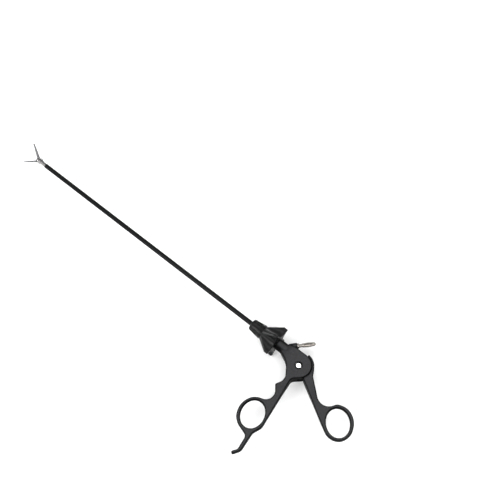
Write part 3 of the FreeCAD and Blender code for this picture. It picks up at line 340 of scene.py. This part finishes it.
def mouldSeam(name, seam):
    # thin flash left where the mould parts, round the hole's wall at half thickness: the path is an ellipse,
    # its inward normal is the position over the squares of the half axes, and its height ripples slightly
    turn = np.linspace(0, 2 * np.pi, seamShape["steps"], endpoint=False)
    tilt = math.radians(seam["tilt"])
    long = np.array([math.cos(tilt), math.sin(tilt), 0])
    short = np.array([-math.sin(tilt), math.cos(tilt), 0])
    cosine, sine = np.cos(turn)[:, None], np.sin(turn)[:, None]
    halfLong, halfShort = seam["half"]
    path = np.array([*seam["centre"], 0]) + halfLong * cosine * long + halfShort * sine * short
    inward = -(cosine / halfLong * long + sine / halfShort * short)
    inward /= np.linalg.norm(inward, axis=1)[:, None]
    upward = np.tile([0.0, 0.0, 1.0], (len(turn), 1))
    reach = seamShape["height"] * (1 + seamShape["ripple"] * np.sin(seamShape["waves"] * turn))
    rows = sweep(path, inward, upward, reach, seamShape["width"], seamShape["ring"])
    skin(name, rows, handlePlastic, seam["body"], True)


for name, seam in seams.items():
    mouldSeam(name, seam)
print("mould seams round", len(seams), "rings")


ejectorMarks = {
    "hubMarkFront": {"centre": (0.0561, -0.0034, -0.0060), "radius": 0.0016, "body": "handle"},
    "hubMarkBack": {"centre": (0.0661, -0.0160, -0.0060), "radius": 0.0016, "body": "handle"},
    "armMark": {"centre": (0.0651, -0.0524, -0.0028), "radius": 0.0014, "body": "handle"},
    "ringMark": {"centre": (0.0681, -0.0864, -0.0028), "radius": 0.0014, "body": "handle"},
    "leverMark": {"centre": (0.0800, -0.0104, -0.0060), "radius": 0.0014, "body": "thumb"},
    "leverRingMark": {"centre": (0.1070, -0.0262, -0.0028), "radius": 0.0014, "body": "thumb"},
}
markShape = {"height": 0.00004, "width": 0.00011, "steps": 72, "ring": 10}


def ejectorMark(name, mark):
    # fine raised ring that a pin of the mould leaves on the back: a circle swept with a flat oval section
    turn = np.linspace(0, 2 * np.pi, markShape["steps"], endpoint=False)
    outward = np.stack([np.cos(turn), np.sin(turn), np.zeros_like(turn)], 1)
    path = np.array(mark["centre"]) + mark["radius"] * outward
    upward = np.tile([0.0, 0.0, 1.0], (len(turn), 1))
    width = np.full(len(turn), markShape["width"])
    rows = sweep(path, outward, upward, width, markShape["height"], markShape["ring"])
    skin(name, rows, handlePlastic, mark["body"], True)


for name, mark in ejectorMarks.items():
    ejectorMark(name, mark)
print("ejector marks:", len(ejectorMarks))


plugSprings = {
    "base": (0.0494, 0.0102, 0.0), "radius": 0.0020, "start": 0.0056, "end": 0.0158,
    "bow": 0.00034, "sink": 0.00012, "spread": 33, "endWidth": 0.72, "thickness": 0.00016,
    "rows": 48, "across": 10, "count": 4, "first": 45,
}


def plugSpring(name, around):
    # bowed spring leaf along the plug pin: an arc strip whose radius rises by the bow times the squared sine
    # of its place along the leaf, and whose spread grows from the ends' width with the plain sine
    shape = plugSprings
    lean = math.radians(plugLean)
    along = np.array([math.cos(lean), math.sin(lean), 0])
    side = np.array([-math.sin(lean), math.cos(lean), 0])
    share = np.linspace(0, 1, shape["rows"])[:, None, None]
    place = shape["start"] + (shape["end"] - shape["start"]) * share
    rise = shape["radius"] - shape["sink"] + shape["bow"] * np.sin(np.pi * share) ** 2
    widening = (1 - shape["endWidth"]) * np.sin(np.pi * share)
    spread = math.radians(shape["spread"]) * (shape["endWidth"] + widening)
    arc = np.linspace(-1, 1, shape["across"])
    thereAndBack = np.concatenate([arc, arc[::-1]])[None, :, None]
    outer = np.repeat([1.0, 0.0], shape["across"])[None, :, None]
    turn = around + spread * thereAndBack
    radius = rise + shape["thickness"] * outer
    rows = (np.array(shape["base"]) + place * along
            + radius * np.cos(turn) * side + radius * np.sin(turn) * np.array([0.0, 0.0, 1.0]))
    skin(name, rows, metals["springMetal"], "handle", False)


for leaf in range(plugSprings["count"]):
    turn = plugSprings["first"] + leaf * 360 / plugSprings["count"]
    plugSpring("plugSpring" + str(leaf + 1), math.radians(turn))
print("spring leaves on the plug pin:", plugSprings["count"])


floorPlace = {"half": 3.0, "drop": 0.0002, "steps": 60, "tone": 0.93, "rough": 0.9, "gloss": 0.1}


def floorGrid():
    # flat square just under the object's lowest point: x and y run over an even grid, z stays the same
    side = np.linspace(-floorPlace["half"], floorPlace["half"], floorPlace["steps"] + 1)
    across, along = np.meshgrid(side, side, indexing="ij")
    low = cadBox[0][2] - floorPlace["drop"]
    points = np.stack([across.ravel(), along.ravel(), np.full(across.size, low)], 1)
    count = floorPlace["steps"] + 1
    corner = (np.arange(count - 1)[:, None] * count + np.arange(count - 1)).ravel()
    faces = np.stack([corner, corner + count, corner + count + 1, corner + 1], 1)
    mesh = bpy.data.meshes.new("studioFloor")
    mesh.from_pydata(points.tolist(), [], faces.tolist())
    floor = bpy.data.objects.new("studioFloor", mesh)
    bpy.context.scene.collection.objects.link(floor)
    material, shader = newMaterial("paleFloor")[:2]
    shader.inputs["Base Color"].default_value = opaque([floorPlace["tone"]] * 3)
    shader.inputs["Roughness"].default_value = floorPlace["rough"]
    shader.inputs["Specular IOR Level"].default_value = floorPlace["gloss"]
    mesh.materials.append(material)


floorGrid()

lamps = {
    "topSoft": {"place": (-0.14, 0.25, 1.10), "aim": (0.05, -0.01, 0.0), "size": 0.9, "power": 4.0},
    "nearSide": {"place": (0.80, -0.75, 0.90), "aim": (-0.08, 0.0, 0.0), "size": 1.0, "power": 8.0},
    "leftBand": {"place": (-0.42, -0.88, 0.66), "aim": (-0.06, 0.0, 0.0), "size": 0.5, "power": 6.0},
    "leftLow": {"place": (-0.95, -0.40, 0.24), "aim": (0.0, 0.0, 0.01), "size": 0.5, "power": 7.0},
    "farSide": {"place": (0.45, 1.05, 0.85), "aim": (-0.08, 0.0, 0.0), "size": 1.0, "power": 7.0},
}


def hangLamp(name, lamp):
    # round soft lamp at its place, its -Z turned towards its aim
    light = bpy.data.lights.new(name, "AREA")
    light.shape = "DISK"
    light.size = lamp["size"]
    light.energy = lamp["power"]
    holder = bpy.data.objects.new(name, light)
    holder.location = lamp["place"]
    holder.rotation_mode = "QUATERNION"
    holder.rotation_quaternion = (Vector(lamp["aim"]) - Vector(lamp["place"])).to_track_quat("-Z", "Y")
    bpy.context.scene.collection.objects.link(holder)


for name, lamp in lamps.items():
    hangLamp(name, lamp)

studioWorld = {"strength": 1.0, "horizon": 0.35, "zenith": 0.85}


def lightWorld(levels):
    # grey that rises from the horizon to the zenith with the height of the line of sight
    world = bpy.data.worlds.new("studio")
    world.use_nodes = True
    tree = world.node_tree
    backdrop = tree.nodes["Background"]
    backdrop.inputs["Strength"].default_value = levels["strength"]
    heading = tree.nodes.new("ShaderNodeTexCoord")
    height = tree.nodes.new("ShaderNodeSeparateXYZ")
    tree.links.new(heading.outputs["Generated"], height.inputs["Vector"])
    sky = tree.nodes.new("ShaderNodeValToRGB")
    for element, (place, name) in zip(sky.color_ramp.elements, ((0.0, "horizon"), (1.0, "zenith"))):
        element.position = place
        element.color = opaque([levels[name]] * 3)
    tree.links.new(height.outputs["Z"], sky.inputs["Fac"])
    tree.links.new(sky.outputs["Color"], backdrop.inputs["Color"])
    bpy.context.scene.world = world


lightWorld(studioWorld)
bpy.context.scene.view_settings.view_transform = "Standard"

photoCamera = {
    "place": (0.25186, -0.23896, 0.82162), "aim": (-0.05575, 0.0621, 0.0), "roll": -5.931,
    "lens": 64.24, "sensor": 36, "clip": (0.01, 20),
}


def placeCamera(settings):
    # looks from place to aim, then rolls about its own line of sight
    data = bpy.data.cameras.new("photoCamera")
    data.sensor_width = settings["sensor"]
    data.lens = settings["lens"]
    data.clip_start, data.clip_end = settings["clip"]
    camera = bpy.data.objects.new("photoCamera", data)
    forward = (Vector(settings["aim"]) - Vector(settings["place"])).normalized()
    right = forward.cross(Vector((0, 0, 1))).normalized()
    up = right.cross(forward)
    turn = Matrix.Rotation(math.radians(-settings["roll"]), 3, forward)
    right, up = turn @ right, turn @ up
    axes = Matrix((right, up, -forward)).transposed()
    camera.matrix_world = Matrix.Translation(Vector(settings["place"])) @ axes.to_4x4()
    bpy.context.scene.collection.objects.link(camera)
    bpy.context.scene.camera = camera


placeCamera(photoCamera)
print("floor, light and camera placed")
